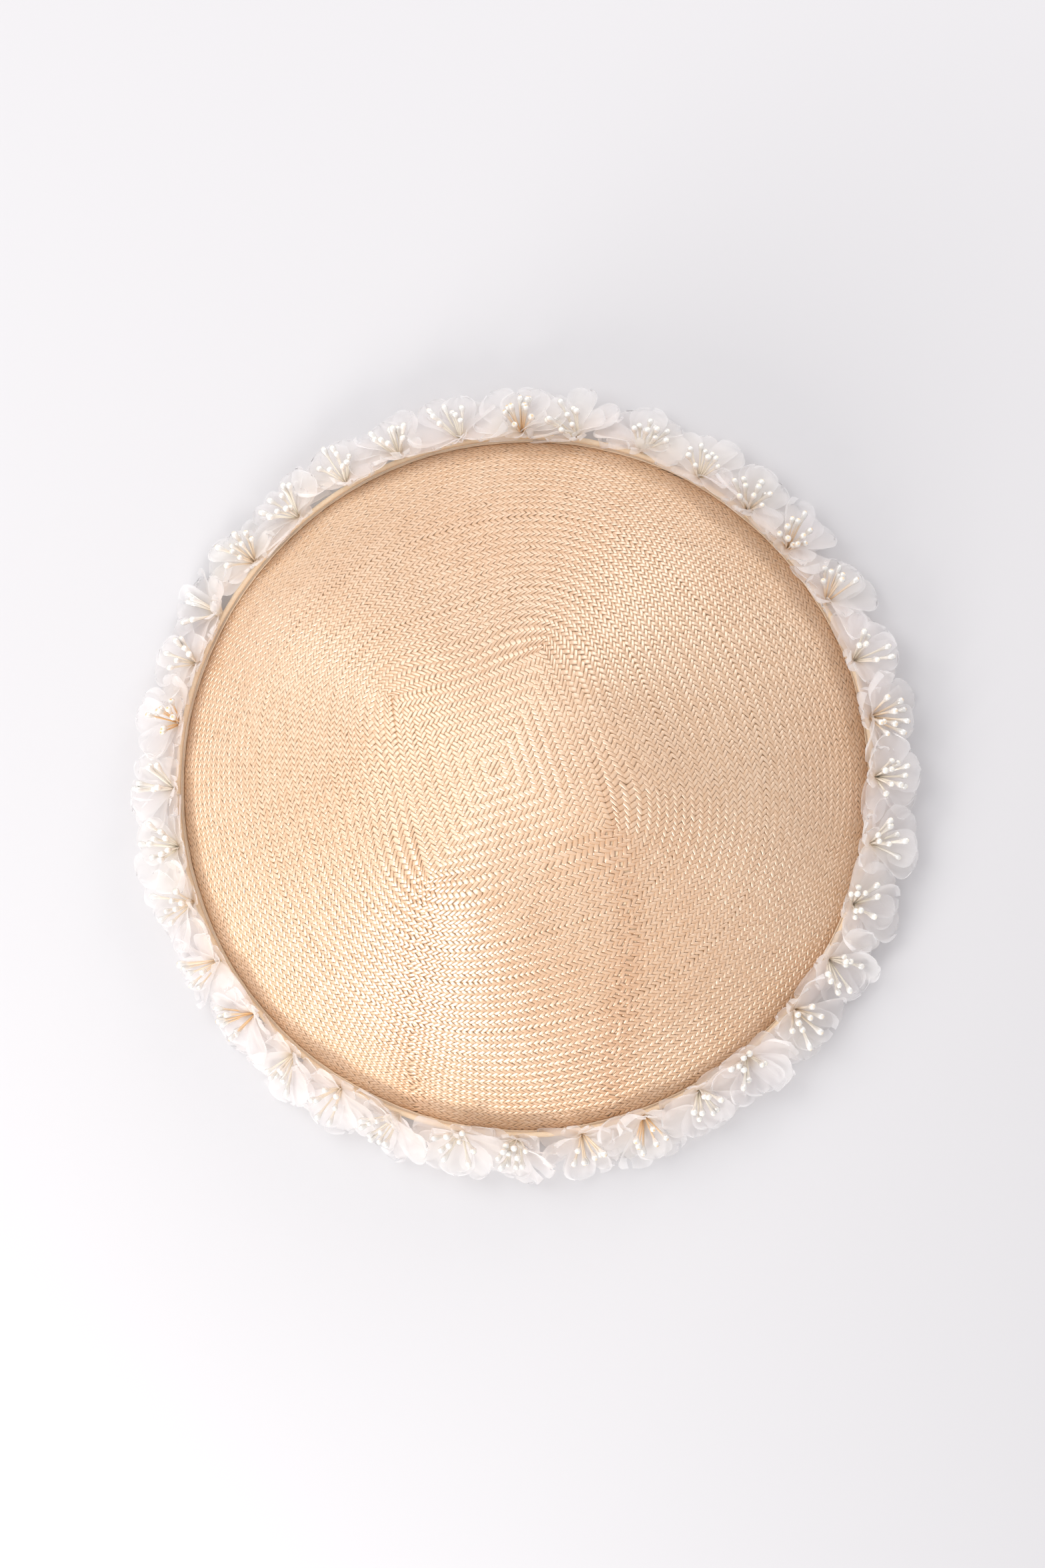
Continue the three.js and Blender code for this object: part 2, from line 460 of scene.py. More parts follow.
def blend_colours(tree, mask, low, high, mode="MIX"):
    """A mix of two colours by a mask, each of them a plain value or a socket."""
    node = tree.nodes.new("ShaderNodeMix")
    node.data_type = "RGBA"
    node.blend_type = mode
    factor = node.inputs["Factor"]
    sides = [s for s in node.inputs if s.type == "RGBA"]
    for socket, value in zip([factor] + sides, (mask, low, high)):
        if isinstance(value, (float, tuple)):
            socket.default_value = value
        else:
            tree.links.new(value, socket)
    return next(s for s in node.outputs if s.type == "RGBA")


def mottling():
    """A colour that wanders between two, by fine or coarse noise over a piece."""
    group = bpy.data.node_groups.new("mottling", "ShaderNodeTree")
    sockets = (
        ("Place", "INPUT", "NodeSocketVector"),
        ("Fineness", "INPUT", "NodeSocketFloat"),
        ("Detail", "INPUT", "NodeSocketFloat"),
        ("Low", "INPUT", "NodeSocketColor"),
        ("High", "INPUT", "NodeSocketColor"),
        ("Colour", "OUTPUT", "NodeSocketColor"),
        ("Grain", "OUTPUT", "NodeSocketFloat"),
    )
    for name, way, kind in sockets:
        group.interface.new_socket(name, in_out=way, socket_type=kind)
    start = group.nodes.new("NodeGroupInput")
    end = group.nodes.new("NodeGroupOutput")
    noise = group.nodes.new("ShaderNodeTexNoise")
    for name, socket in (("Place", "Vector"), ("Fineness", "Scale"), ("Detail", "Detail")):
        group.links.new(start.outputs[name], noise.inputs[socket])
    colour = blend_colours(group, noise.outputs["Fac"], start.outputs["Low"], start.outputs["High"])
    group.links.new(colour, end.inputs["Colour"])
    group.links.new(noise.outputs["Fac"], end.inputs["Grain"])
    return group


mottled = mottling()


def place_mottling(tree, fineness, detail, low=(0.0, 0.0, 0.0, 1.0), high=(1.0, 1.0, 1.0, 1.0)):
    """The mottling, placed in a material by the object's own axes."""
    where = tree.nodes.new("ShaderNodeTexCoord")
    node = tree.nodes.new("ShaderNodeGroup")
    node.node_tree = mottled
    for name, value in (("Fineness", fineness), ("Detail", detail), ("Low", low), ("High", high)):
        node.inputs[name].default_value = value
    tree.links.new(where.outputs["Object"], node.inputs["Place"])
    return node


straw, tree, shader = new_material(
    "straw",
    Roughness=0.38,
    IOR=2.2,
    Specular_IOR_Level=1.0,
    Specular_Tint=(1.0, 0.95, 0.86, 1.0),
    Anisotropic=0.9,
    Anisotropic_Rotation=0.25,
)
straw_run = tree.nodes.new("ShaderNodeTangent")
straw_run.direction_type = "UV_MAP"
straw_run.uv_map = "strand"
tree.links.new(straw_run.outputs["Tangent"], shader.inputs["Tangent"])
strand_map = tree.nodes.new("ShaderNodeUVMap")
strand_map.uv_map = "strand"
drawn_out = add_node(tree, "ShaderNodeMapping", Scale=(0.35, 5.0, 1.0))
tree.links.new(strand_map.outputs["UV"], drawn_out.inputs["Vector"])
fibres = add_node(tree, "ShaderNodeTexNoise", Scale=1.0, Detail=2.0)
tree.links.new(drawn_out.outputs["Vector"], fibres.inputs["Vector"])
own_tone = blend_colours(tree, read_mark(tree, "tone"), (0.72, 0.46, 0.27, 1.0), (0.80, 0.57, 0.39, 1.0))
patches = place_mottling(tree, 14.0, 3.0)
faded = add_node(tree, "ShaderNodeMapRange", From_Min=0.42, From_Max=0.68)
tree.links.new(patches.outputs["Grain"], faded.inputs["Value"])
weathered = blend_colours(tree, faded.outputs["Result"], (1.0, 1.0, 1.0, 1.0), (0.95, 0.87, 0.79, 1.0))
mellow = blend_colours(tree, 1.0, own_tone, weathered, "MULTIPLY")
streaked = blend_colours(tree, fibres.outputs["Fac"], mellow, (0.93, 0.84, 0.73, 1.0), "MULTIPLY")
# Painted shade: the straw is painted darker and more orange where the floats dip under their neighbours
shaded_tucks = blend_colours(tree, read_mark(tree, "tuck_shade"), streaked, (0.70, 0.38, 0.17, 1.0))
# The straw is darker and warmer along the two faults and at the knots
darker_at_faults = blend_colours(tree, read_mark(tree, "messy"), shaded_tucks, (0.93, 0.84, 0.74, 1.0), "MULTIPLY")
tree.links.new(darker_at_faults, shader.inputs["Base Color"])
ridges = add_node(tree, "ShaderNodeBump", Strength=0.4, Distance=0.00008)
tree.links.new(fibres.outputs["Fac"], ridges.inputs["Height"])
tree.links.new(ridges.outputs["Normal"], shader.inputs["Normal"])

for side_name, inside in (("outer", False), ("inner", True)):
    flat = square_floats(inside)
    rounds = round_floats(inside)
    middle = first_corner + (flat[:, 3] + 0.5) * np.pi / 2 + np.arctan2(flat[:, 1], flat[:, 0])
    lengths = np.array([-1.25, -0.55, 0.55, 1.25]) if inside else np.array([-1.3, -0.8, 0.0, 0.8, 1.3])
    widths = np.array([-0.5, 0.0, 0.5]) if inside else np.array([-0.5, -0.19, 0.19, 0.5])
    for quarter in range(4):
        of_flat = np.floor(middle / (np.pi / 2)) % 4 == quarter
        of_rounds = np.floor(rounds[:, 1] / (np.pi / 2)) % 4 == quarter
        luck = np.random.default_rng(quarter + (10 if inside else 0))
        name = f"crown_{side_name}_weave_{quarter + 1}"
        weave(name, flat[of_flat], rounds[of_rounds], lengths, widths, inside, luck)

# The strands' middles, which lie between the two faces of the weave, as one thin shell
core_thickness = 0.00060
core_sunk = 0.00030  # below the crown's outer face
core_inset = 0.0009
bpy.ops.object.select_all(action="DESELECT")
bpy.ops.mesh.primitive_circle_add(vertices=192, radius=edge_radius, fill_type="TRIFAN")
core = bpy.context.object
core.name = "crown_core"
bpy.ops.object.mode_set(mode="EDIT")
bpy.ops.mesh.select_all(action="SELECT")
shape = bmesh.from_edit_mesh(core.data)
spokes = [edge for edge in shape.edges if not edge.is_boundary]
bmesh.ops.subdivide_edges(shape, edges=spokes, cuts=40, use_grid_fill=True)
bmesh.update_edit_mesh(core.data)
bpy.ops.object.mode_set(mode="OBJECT")
flat = np.array([vertex.co for vertex in core.data.vertices])
core_radius = np.hypot(flat[:, 0], flat[:, 1]) * (1.0 - core_inset / edge_radius)
core_points = on_crown(core_radius, np.arctan2(flat[:, 1], flat[:, 0]), np.full(len(flat), -core_sunk))
core.data.vertices.foreach_set("co", core_points.astype(np.float32).ravel())
wall = core.modifiers.new("wall", "SOLIDIFY")
wall.thickness = core_thickness
wall.offset = -1.0
bpy.ops.object.modifier_apply(modifier="wall")
bpy.ops.object.shade_smooth()
# Painted light: the core's straw is painted lighter than the floats, a painted glow of the light that the
# thin straw lets into the gaps
core_straw_painted_glow, tree, shader = new_material("core_straw_painted_glow", Roughness=0.6)
chaff_and_glow = place_mottling(tree, 900.0, 2.0, (0.93, 0.68, 0.42, 1.0), (0.97, 0.78, 0.56, 1.0))
tree.links.new(chaff_and_glow.outputs["Colour"], shader.inputs["Base Color"])
core.data.materials.append(core_straw_painted_glow)
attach(core, "root")
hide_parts("crown")

# ---------------------------------------------------------------------------------------------------
# Rim wire. Millinery wire wound with cotton thread, which keeps the edge round. It lies inside the
# binding's fold, against the straw's cut edge.
rim_wire = bpy.data.objects["rim_wire"]
wound_wire, tree, shader = new_material("cotton_wound_wire", Roughness=0.8)
winding = place_mottling(tree, 1500.0, 1.0, (0.70, 0.68, 0.62, 1.0), (0.88, 0.87, 0.83, 1.0))
tree.links.new(winding.outputs["Colour"], shader.inputs["Base Color"])
for slot in rim_wire.material_slots:
    slot.material = wound_wire

# ---------------------------------------------------------------------------------------------------
# Edge binding. A peach satin ribbon, 13.5 mm wide, folded over the straw's cut edge and its wire, with
# a narrow lip outside and a wider one inside. The fold's bottom is where the hat stands.
ribbon_gap = 0.00034  # between the straw's face and the ribbon's middle
ribbon_thickness = 0.00036
outer_lip = 0.0022
inner_lip = 0.0058
fold_start = 0.0012  # past the straw's cut edge, where the ribbon starts to turn
fold_depth = 0.00105
ribbon_steps = 360


def woven_ribs():
    """Fine ribs of ribbon or silk, on a map in metres: their height, and a mask of the grooves."""
    group = bpy.data.node_groups.new("woven_ribs", "ShaderNodeTree")
    group.interface.new_socket("Map", in_out="INPUT", socket_type="NodeSocketVector")
    for name, way in (("Ribs", "INPUT"), ("Threads", "INPUT"), ("Height", "OUTPUT"), ("Grooves", "OUTPUT")):
        group.interface.new_socket(name, in_out=way, socket_type="NodeSocketFloat")
    start = group.nodes.new("NodeGroupInput")
    end = group.nodes.new("NodeGroupOutput")

    def maths(operation, *values):
        node = group.nodes.new("ShaderNodeMath")
        node.operation = operation
        for number, value in enumerate(values):
            if isinstance(value, float):
                node.inputs[number].default_value = value
            else:
                group.links.new(value, node.inputs[number])
        return node.outputs[0]

    def wave(place, to_the_metre):
        return maths("SINE", maths("MULTIPLY", maths("MULTIPLY", place, to_the_metre), 2 * math.pi))

    split = group.nodes.new("ShaderNodeSeparateXYZ")
    group.links.new(start.outputs["Map"], split.inputs[0])
    along = wave(split.outputs["X"], start.outputs["Ribs"])
    across = wave(split.outputs["Y"], start.outputs["Threads"])
    height = maths("ADD", maths("MULTIPLY", along, 0.35), maths("MULTIPLY", across, 0.15))
    group.links.new(maths("ADD", height, 0.5), end.inputs["Height"])
    low = maths("SUBTRACT", 0.5, maths("MULTIPLY", along, 0.5))
    group.links.new(maths("POWER", low, 3.0), end.inputs["Grooves"])
    return group


ribs = woven_ribs()


def place_ribs(tree, map_name, rib_count, thread_count):
    """The woven ribs on a cloth's own map, with so many ribs and threads to the metre."""
    cloth_map = tree.nodes.new("ShaderNodeUVMap")
    cloth_map.uv_map = map_name
    node = tree.nodes.new("ShaderNodeGroup")
    node.node_tree = ribs
    node.inputs["Ribs"].default_value = rib_count
    node.inputs["Threads"].default_value = thread_count
    tree.links.new(cloth_map.outputs["UV"], node.inputs["Map"])
    return node


def cloth_grid(name, points, cloth_map, around):
    """A sheet through a grid of points, with its map in metres. It closes on itself if around is true."""
    rows, columns = points.shape[:2]
    index = np.arange(rows * columns).reshape(rows, columns)
    faces, corners = [], []
    for i in range(rows if around else rows - 1):
        for j in range(columns - 1):
            after = (i + 1) % rows
            faces.append((index[i, j], index[after, j], index[after, j + 1], index[i, j + 1]))
            corners += [cloth_map[i, j], cloth_map[i + 1, j], cloth_map[i + 1, j + 1], cloth_map[i, j + 1]]
    mesh = bpy.data.meshes.new(name)
    mesh.from_pydata(points.reshape(-1, 3).tolist(), [], [tuple(int(c) for c in f) for f in faces])
    cloth = mesh.uv_layers.new(name="cloth")
    cloth.uv.foreach_set("vector", np.array(corners, np.float32).ravel())
    mesh.polygons.foreach_set("use_smooth", np.ones(len(faces), bool))
    piece = bpy.data.objects.new(name, mesh)
    scene.collection.objects.link(piece)
    return piece


def thicken(piece, thickness):
    """Gives a sheet its real thickness, half to each side."""
    bpy.ops.object.select_all(action="DESELECT")
    bpy.context.view_layer.objects.active = piece
    piece.select_set(True)
    wall = piece.modifiers.new("wall", "SOLIDIFY")
    wall.thickness = thickness
    wall.offset = 0.0
    bpy.ops.object.modifier_apply(modifier="wall")


edge_height = tip_height - crown_drop(edge_radius)
down_slope = (crown_drop(edge_radius) - crown_drop(edge_radius - 0.00001)) / 0.00001
steep = math.atan(down_slope)
# The ribbon's section: how far it is down the face past the edge, and off the straw's outer face
fold = []
for step in range(8):
    fold.append((-outer_lip + (outer_lip + fold_start) * step / 8, ribbon_gap))
for step in range(13):
    angle = math.pi * step / 12
    width = ribbon_gap + straw_thickness / 2
    off_face = -straw_thickness / 2 + width * math.cos(angle)
    fold.append((fold_start + fold_depth * math.sin(angle), off_face))
for step in range(1, 9):
    fold.append((fold_start - (inner_lip + fold_start) * step / 8, -straw_thickness - ribbon_gap))
fold = np.array(fold)
turns = np.arange(ribbon_steps) / ribbon_steps * 2 * np.pi
pucker = 0.00009 * np.sin(90 * turns) + 0.00005 * np.sin(41 * turns + 1.0)
wander = 0.00030 * np.sin(7 * turns) + 0.00018 * np.sin(17 * turns + 2.0)
down = fold[None, :, 0] + wander[:, None] * (np.abs(fold[None, :, 0]) / outer_lip)
away = fold[None, :, 1] + pucker[:, None] * np.sign(fold[None, :, 1] + straw_thickness / 2) * 0.5
radius = edge_radius + down * math.cos(steep) + away * math.sin(steep)
height = edge_height - down * math.sin(steep) + away * math.cos(steep)
height = np.maximum(height, 0.00022)
points = np.stack([
    radius * np.cos(turns)[:, None],
    radius * np.sin(turns)[:, None],
    height,
], axis=-1)
widths = np.concatenate([[0.0], np.cumsum(np.hypot(*np.diff(fold, axis=0).T))])
around = np.arange(ribbon_steps + 1) / ribbon_steps * 2 * np.pi * edge_radius
cloth_map = np.stack(np.broadcast_arrays(around[:, None], widths[None, :]), axis=-1)
binding = cloth_grid("edge_binding_ribbon", points, cloth_map, True)
thicken(binding, ribbon_thickness)


def weave_cloth(tree, shader, colour, thread_counts, groove_shade_colour, relief_strength, relief_depth):
    """Gives a cloth's shader its colour, with painted shade in the grooves between its ribs, and their
    relief.
    """
    woven = place_ribs(tree, "cloth", *thread_counts)
    # Painted shade: the cloth is painted darker in the grooves between its ribs
    shaded = blend_colours(tree, woven.outputs["Grooves"], colour, groove_shade_colour, "MULTIPLY")
    tree.links.new(shaded, shader.inputs["Base Color"])
    relief = add_node(tree, "ShaderNodeBump", Strength=relief_strength, Distance=relief_depth)
    tree.links.new(woven.outputs["Height"], relief.inputs["Height"])
    tree.links.new(relief.outputs["Normal"], shader.inputs["Normal"])
    return shaded


peach_satin, tree, shader = new_material("peach_satin", Roughness=0.5, Sheen_Weight=0.3)
fading = place_mottling(tree, 60.0, 2.0, (0.93, 0.72, 0.50, 1.0), (0.96, 0.82, 0.64, 1.0))
dyed = fading.outputs["Colour"]
# Painted shade darkens the satin's grooves between its ribs
weave_cloth(tree, shader, dyed, (2200.0, 1500.0), (0.95, 0.88, 0.80, 1.0), 0.35, 0.00006)
binding.data.materials.append(peach_satin)
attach(binding, "root")
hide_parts("edge_binding")

# ---------------------------------------------------------------------------------------------------
# Head band. A cream grosgrain ribbon, 26 mm deep, sewn by its top edge inside the crown to grip the
# head. Its two ends lap over each other at the back.
band_low, band_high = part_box("head_band")
band_radius = band_high.x - 0.0003
band_depth = 0.026
band_lap = 0.014
band_thickness = 0.0005
band_steps = 240
band_rows = 8
lap_angle = band_lap / band_radius
turns = np.linspace(-lap_angle / 2, 2 * np.pi + lap_angle / 2, band_steps) + math.pi / 2
over = smooth(turns - turns[0], 2 * np.pi - lap_angle, 2 * np.pi - 0.3 * lap_angle)
rows = np.linspace(0.0, 1.0, band_rows)
ease = 0.0005 * np.sin(9 * turns)[:, None] * (1.0 - rows[None, :])
radius = band_radius - 0.0009 * over[:, None] - 0.0004 + ease
inner_face = tip_height - crown_drop(band_radius) - straw_thickness
drop_at = crown_dents(np.full(band_steps, band_radius), turns)
top = inner_face - 0.0009 + drop_at
height = band_low.z + 0.0002 + (top[:, None] - band_low.z - 0.0002) * rows[None, :]
points = np.stack([radius * np.cos(turns)[:, None], radius * np.sin(turns)[:, None], height], axis=-1)
along = (turns - turns[0]) * band_radius
cloth_map = np.stack(np.broadcast_arrays(along[:, None], (rows * band_depth)[None, :]), axis=-1)
head_band = cloth_grid("head_band_ribbon", points, cloth_map, False)
thicken(head_band, band_thickness)
grosgrain, tree, shader = new_material("cream_grosgrain", Roughness=0.7, Sheen_Weight=0.2)
ageing = place_mottling(tree, 30.0, 3.0, (0.80, 0.70, 0.56, 1.0), (0.90, 0.83, 0.72, 1.0))
dyed = ageing.outputs["Colour"]
# Painted shade darkens the grosgrain's grooves between its ribs
weave_cloth(tree, shader, dyed, (1250.0, 2600.0), (0.80, 0.72, 0.62, 1.0), 0.6, 0.00015)
head_band.data.materials.append(grosgrain)
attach(head_band, "root")
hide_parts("head_band")

# ---------------------------------------------------------------------------------------------------
# Head band's stitches. Small slanting stitches of cream cotton thread, which hold the band's top edge
# to the straw. Each is a rounded bead of thread that lies flat on the ribbon.
stitch_length = 0.0030
stitch_pitch = 0.0075
stitch_slant = 0.35
thread_half = 0.00022
stitch_ring = band_radius - 0.00085
stitch_count = int(2 * math.pi * stitch_ring / stitch_pitch)
stitch_height = float(inner_face) - 0.0024
bpy.ops.object.select_all(action="DESELECT")
bpy.ops.mesh.primitive_uv_sphere_add(segments=6, ring_count=4, radius=thread_half)
bead = bpy.context.object
shape = np.array([vertex.co for vertex in bead.data.vertices])
bead_faces = [tuple(polygon.vertices) for polygon in bead.data.polygons]
bpy.data.objects.remove(bead)
points, faces = [], []
for number in range(stitch_count):
    angle = 2 * math.pi * number / stitch_count
    slant_here = stitch_slant + 0.25 * math.sin(5.0 * number)
    run = shape[:, 2] * stitch_length / (2 * thread_half)
    rise = run * math.sin(slant_here) + shape[:, 1]
    run = run * math.cos(slant_here)
    out = stitch_ring - shape[:, 0] * 0.7
    point = np.stack([
        out * math.cos(angle) - run * math.sin(angle),
        out * math.sin(angle) + run * math.cos(angle),
        stitch_height + rise,
    ], axis=-1)
    points.append(point)
    faces += [tuple(c + number * len(shape) for c in face) for face in bead_faces]


def solid_piece(name, points, faces):
    """A smooth piece of closed bodies, with its faces turned out."""
    mesh = bpy.data.meshes.new(name)
    mesh.from_pydata(np.concatenate(points).tolist(), [], faces)
    fixed = bmesh.new()
    fixed.from_mesh(mesh)
    bmesh.ops.recalc_face_normals(fixed, faces=fixed.faces)
    fixed.to_mesh(mesh)
    fixed.free()
    mesh.polygons.foreach_set("use_smooth", np.ones(len(mesh.polygons), bool))
    piece = bpy.data.objects.new(name, mesh)
    scene.collection.objects.link(piece)
    return piece


stitches = solid_piece("head_band_stitches", points, faces)
cotton_thread, tree, shader = new_material("cotton_thread", Roughness=0.6)
strands = place_mottling(tree, 4000.0, 1.0, (0.78, 0.66, 0.50, 1.0), (0.92, 0.84, 0.70, 1.0))
tree.links.new(strands.outputs["Colour"], shader.inputs["Base Color"])
stitches.data.materials.append(cotton_thread)
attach(stitches, "root")

# ---------------------------------------------------------------------------------------------------
# Garland stem. A ring of florist's wire wound with amber paper tape, sewn on the binding. It carries
# the blossoms.
tape_laps = 105
stem_low, stem_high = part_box("garland_stem")
stem_radius = (stem_high.z - stem_low.z) / 2
stem_ring = stem_high.x - stem_radius
stem_height = (stem_high.z + stem_low.z) / 2
bpy.ops.object.select_all(action="DESELECT")
bpy.ops.mesh.primitive_torus_add(
    major_radius=stem_ring,
    minor_radius=stem_radius,
    major_segments=420,
    minor_segments=10,
    location=(0.0, 0.0, stem_height),
)
stem = bpy.context.object
stem.name = "garland_stem_tape"
bpy.ops.object.transform_apply(location=True)
place = np.array([vertex.co for vertex in stem.data.vertices])
turned = np.arctan2(place[:, 1], place[:, 0])
off = np.hypot(place[:, 0], place[:, 1]) - stem_ring
rise = place[:, 2] - stem_height
wound = np.arctan2(rise, off)
# The tape's laps run round the wire in a spiral, each a little fatter towards its edge
lap = ((wound / (2 * np.pi)) + turned / (2 * np.pi) * tape_laps) % 1.0
fatter = 0.90 + 0.10 * lap + 0.05 * np.sin(33 * turned)
radius = stem_ring + off * fatter
height = stem_height + rise * fatter
place = np.stack([radius * np.cos(turned), radius * np.sin(turned), height], axis=-1)
stem.data.vertices.foreach_set("co", place.astype(np.float32).ravel())
bpy.ops.object.shade_smooth()
paper_tape, tree, shader = new_material("amber_paper_tape", Roughness=0.75)
crepe = place_mottling(tree, 700.0, 3.0, (0.86, 0.64, 0.42, 1.0), (0.95, 0.82, 0.64, 1.0))
tree.links.new(crepe.outputs["Colour"], shader.inputs["Base Color"])
relief = add_node(tree, "ShaderNodeBump", Strength=0.5, Distance=0.0001)
tree.links.new(crepe.outputs["Grain"], relief.inputs["Height"])
tree.links.new(relief.outputs["Normal"], shader.inputs["Normal"])
stem.data.materials.append(paper_tape)
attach(stem, "root")
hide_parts("garland_stem")

# ---------------------------------------------------------------------------------------------------
# Blossoms' petals. Each blossom has twelve round petals, cut from sheer white silk, curled with a hot
# iron, gathered round a bunch of stamens and tied to the stem. The ones next to the crown are the
# smallest, and lap over the binding.
blossom_nodes = sorted(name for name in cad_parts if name.startswith("blossom_"))
petal_length = 0.0166
petal_half_width = 0.0082
petal_throat = 0.0011  # half of a petal's width where it is gathered
petal_rows = 16
petal_columns = 15
gather_radius = 0.0006  # of the ring that the petals' throats are tied in
gather_height = 0.0016  # above the stem's middle
layer_gap = 0.0009  # the petals lie in three layers
tinted_length = 0.0050  # how far up a petal the throat's tint runs
table_gap = 0.0006
crown_gap = 0.0015
rest_gap = 0.0003
petal_wall = 0.1289  # petals that reach further in than this are pressed back out
pressed_back = 0.78


def petal_half(share):
    """Half of a petal's width, at a share of its length."""
    body = np.clip(share, 0.0, 1.0) ** 0.66 * np.sqrt(np.clip(1.0 - share**6, 0.0, 1.0))
    return petal_throat * (1.0 - share) + petal_half_width * 1.10 * body


def petal(axis, outward, bend, length, luck):
    """One petal's grid of points, from its throat, and the same grid on the flat silk."""
    share = 1.0 - (1.0 - np.linspace(0.0, 0.990, petal_rows)) ** 1.35
    across = np.sin(np.linspace(-0.5, 0.5, petal_columns) * np.pi)
    # The petal leaves the throat along the axis and opens outwards, then its tip rolls over or cups
    opening = bend[0] + (bend[1] - bend[0]) * smooth(share, 0.0, 0.45) + bend[2] * smooth(share, 0.45, 1.0)
    steps = np.diff(share, prepend=0.0) * length
    run_axis = np.cumsum(np.cos(opening) * steps)
    run_out = np.cumsum(np.sin(opening) * steps)
    side = np.cross(axis, outward)
    middle = run_axis[:, None] * axis + run_out[:, None] * outward
    inner = np.sin(opening)[:, None] * axis - np.cos(opening)[:, None] * outward
    half = petal_half(share) * length / petal_length
    cup = luck.uniform(-0.05, 0.38)
    twist = luck.normal(0.0, 0.18)
    ruffle = luck.uniform(0.0006, 0.0016)
    waves = luck.uniform(1.0, 2.2)
    # Only two of the phases are used, and the third keeps the later draws in their places
    phase = luck.uniform(0.0, 2 * np.pi, 3)
    # The silk's lift off a flat petal: it cups, twists, ruffles and creases, and its edges curl
    edge = np.abs(across)[None, :]
    ruffles = ruffle * share[:, None] ** 1.5 * (0.35 + 0.65 * edge**1.5) * (
        np.sin(waves * np.pi * across[None, :] + 3.0 * share[:, None] + phase[0])
        + 0.5 * np.sin(2.3 * waves * np.pi * across[None, :] - 5.0 * share[:, None] + phase[1])
    )
    crease = 0.0008 * share[:, None] * np.exp(-((across[None, :] / 0.22) ** 2)) * luck.uniform(-1.0, 0.3)
    curl = luck.uniform(-0.0016, 0.0022) * smooth(edge, 0.72, 1.0) * share[:, None]
    lift = cup * half[:, None] * edge**2 + ruffles + crease + curl + twist * half[:, None] * across[None, :]
    narrowed = 1.0 - 0.5 * cup**2 * edge**2
    frayed = 1.0 + luck.normal(0.0, 0.016, (petal_rows, 1)) * edge**8
    wide = half[:, None] * across[None, :] * narrowed * frayed
    ragged = luck.normal(0.0, 0.00022, petal_columns)[None, :] * smooth(share, 0.9, 1.0)[:, None]
    tangent = np.cos(opening)[:, None] * axis + np.sin(opening)[:, None] * outward
    points = middle[:, None, :] + wide[..., None] * side + lift[..., None] * inner[:, None, :]
    points = points + ragged[..., None] * tangent[:, None, :]
    flat = np.stack(np.broadcast_arrays(half[:, None] * across[None, :], (share * length)[:, None]), -1)
    hem = np.maximum(edge**8, share[:, None] ** 12)
    return points, flat, hem


white_silk, tree, shader = new_material(
    "white_silk",
    Roughness=0.6,
    Specular_IOR_Level=0.3,
    Sheen_Weight=0.25,
)
tints = place_mottling(tree, 38.0, 2.0)
tinted = add_node(tree, "ShaderNodeMapRange", From_Min=0.40, From_Max=0.72)
tree.links.new(tints.outputs["Grain"], tinted.inputs["Value"])
silk = blend_colours(tree, tinted.outputs["Result"], (0.985, 0.965, 0.96, 1.0), (0.985, 0.97, 0.94, 1.0))
silk = blend_colours(tree, read_mark(tree, "throat"), silk, (0.90, 0.75, 0.50, 1.0))
silk = blend_colours(tree, read_mark(tree, "hem"), silk, (0.99, 0.985, 0.985, 1.0))
# Painted shade darkens the silk's grooves between its ribs, very slightly
silk = weave_cloth(tree, shader, silk, (2600.0, 1900.0), (0.96, 0.95, 0.96, 1.0), 0.25, 0.00005)
# Thin silk lets light through its threads and between them
sheer = tree.nodes.new("ShaderNodeBsdfTranslucent")
tree.links.new(silk, sheer.inputs["Color"])
mixed = tree.nodes.new("ShaderNodeMixShader")
mixed.inputs["Fac"].default_value = 0.60
tree.links.new(shader.outputs["BSDF"], mixed.inputs[1])
tree.links.new(sheer.outputs["BSDF"], mixed.inputs[2])
between_threads = tree.nodes.new("ShaderNodeBsdfTransparent")
open_weave = tree.nodes.new("ShaderNodeMixShader")
open_weave.inputs["Fac"].default_value = 0.42
tree.links.new(mixed.outputs["Shader"], open_weave.inputs[1])
tree.links.new(between_threads.outputs["BSDF"], open_weave.inputs[2])
tree.links.new(open_weave.outputs["Shader"], tree.nodes["Material Output"].inputs["Surface"])

# Each petal's turn round the axis, in degrees from level, how far it opens, in radians, and its size.
# The first ones face the crown, and the last ones the table.
petal_places = (
    (72, 1.15, 0.56), (110, 1.15, 0.56), (32, 1.35, 0.78), (148, 1.35, 0.78),
    (8, 1.50, 1.15), (172, 1.50, 1.15), (-20, 1.80, 1.10), (-160, 1.80, 1.10),
    (-44, 1.20, 1.06), (-76, 0.95, 0.96), (-106, 0.95, 0.96), (-136, 1.20, 1.06),
)
